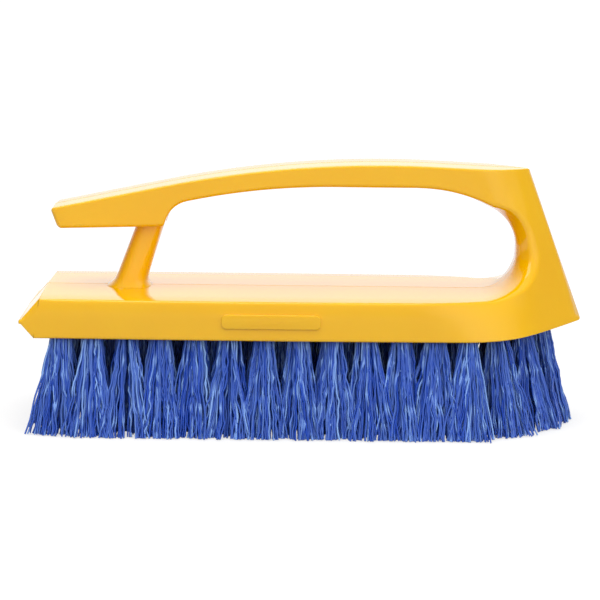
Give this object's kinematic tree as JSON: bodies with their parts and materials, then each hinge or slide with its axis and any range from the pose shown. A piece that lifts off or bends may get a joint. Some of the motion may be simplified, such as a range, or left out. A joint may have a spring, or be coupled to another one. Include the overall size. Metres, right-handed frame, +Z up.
{
  "type": "scrub brush",
  "caption": "Hand scrub brush with an iron-shaped moulded handle, a pointed toe, a wedge scraper edge and splayed tufts of stiff bristles set in the block.",
  "frame": {"origin": "on the plane of the bristle tips, under the middle of the brush's length and width", "axes": "+X to the pointed toe, -X to the scraper edge, +Z up from the bristle tips to the handle; the raised blank panel is on the -Y side"},
  "size_m": [0.1524, 0.074, 0.0711],
  "materials": {
    "body": "glossy moulded",
    "bristles": "crimped filament",
    "staples": "bright strip"
  },
  "bodies": {
    "root": {"anchor_staples": "staples", "handle_block": "body", "tuft_core_01": "bristles", "tuft_core_02": "bristles", "tuft_core_03": "bristles", "tuft_core_04": "bristles", "tuft_core_05": "bristles", "tuft_core_06": "bristles", "tuft_core_07": "bristles", "tuft_core_08": "bristles", "tuft_core_09": "bristles", "tuft_core_10": "bristles", "tuft_core_11": "bristles", "tuft_core_12": "bristles", "tuft_core_13": "bristles", "tuft_core_14": "bristles", "tuft_core_15": "bristles", "tuft_core_16": "bristles", "tuft_core_17": "bristles", "tuft_core_18": "bristles", "tuft_core_19": "bristles", "tuft_core_20": "bristles", "tuft_core_21": "bristles", "tuft_core_22": "bristles", "tuft_heel_1": "bristles", "tuft_heel_2": "bristles", "tuft_heel_3": "bristles", "tuft_heel_4": "bristles", "tuft_left_01": "bristles", "tuft_left_02": "bristles", "tuft_left_03": "bristles", "tuft_left_04": "bristles", "tuft_left_05": "bristles", "tuft_left_06": "bristles", "tuft_left_07": "bristles", "tuft_left_08": "bristles", "tuft_left_09": "bristles", "tuft_left_10": "bristles", "tuft_left_11": "bristles", "tuft_left_12": "bristles", "tuft_left_13": "bristles", "tuft_left_14": "bristles", "tuft_left_15": "bristles", "tuft_left_16": "bristles", "tuft_right_01": "bristles", "tuft_right_02": "bristles", "tuft_right_03": "bristles", "tuft_right_04": "bristles", "tuft_right_05": "bristles", "tuft_right_06": "bristles", "tuft_right_07": "bristles", "tuft_right_08": "bristles", "tuft_right_09": "bristles", "tuft_right_10": "bristles", "tuft_right_11": "bristles", "tuft_right_12": "bristles", "tuft_right_13": "bristles", "tuft_right_14": "bristles", "tuft_right_15": "bristles", "tuft_right_16": "bristles"}
  },
  "joints": []
}
